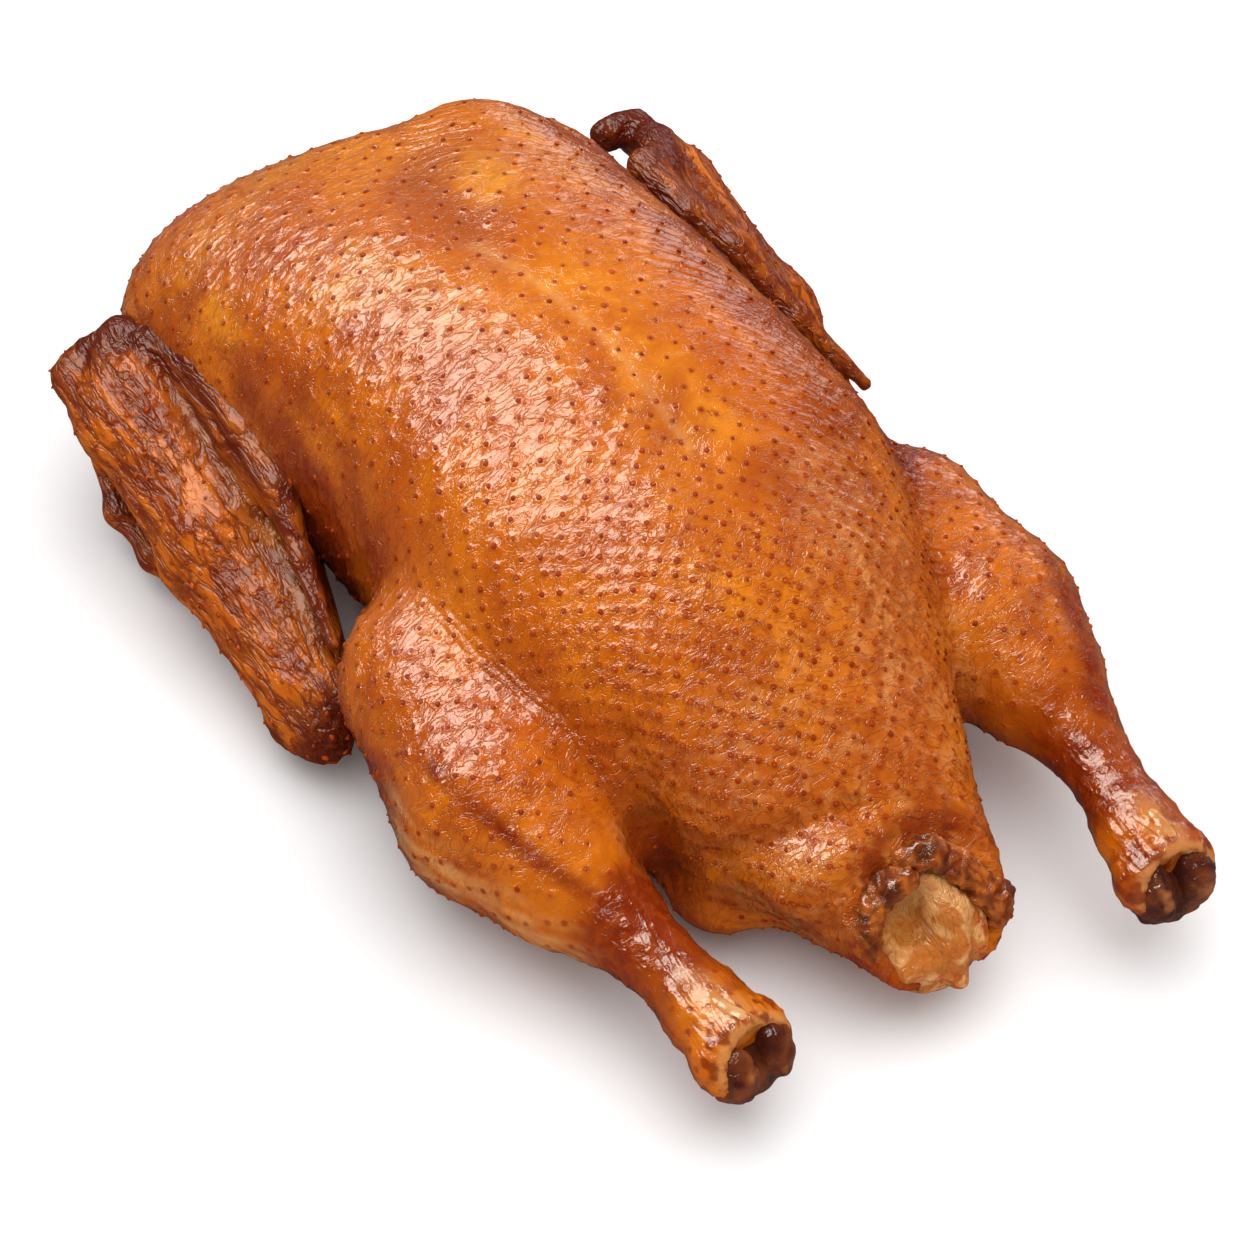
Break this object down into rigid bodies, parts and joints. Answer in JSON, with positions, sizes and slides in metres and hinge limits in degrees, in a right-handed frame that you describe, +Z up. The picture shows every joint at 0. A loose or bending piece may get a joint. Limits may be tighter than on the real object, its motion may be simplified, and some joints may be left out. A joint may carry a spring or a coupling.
{
  "type": "smoked duck",
  "caption": "Whole smoked duck lying breast up, wings folded along the flanks, legs stretched back with cut hocks, tail cut open.",
  "frame": {"origin": "middle of the footprint's bounding box, on the surface that the back rests on", "axes": "+Y from the tail to the neck, +X towards the wing on the right when the bird is looked at from its tail, +Z up through the breast"},
  "size_m": [0.209, 0.3284, 0.1135],
  "materials": {
    "skin": "glossy amber to mahogany smoked skin, fine creases and raised quill follicles with dark centres",
    "bone": "dark brown smoked bone end with a creamy tendon beside it",
    "flesh": "moist pale tan flesh and fat, browned at its edges"
  },
  "bodies": {
    "root": {"duck_body": "skin", "shank_bone_left": "bone", "shank_bone_right": "bone", "tail_flesh": "flesh"}
  },
  "joints": []
}
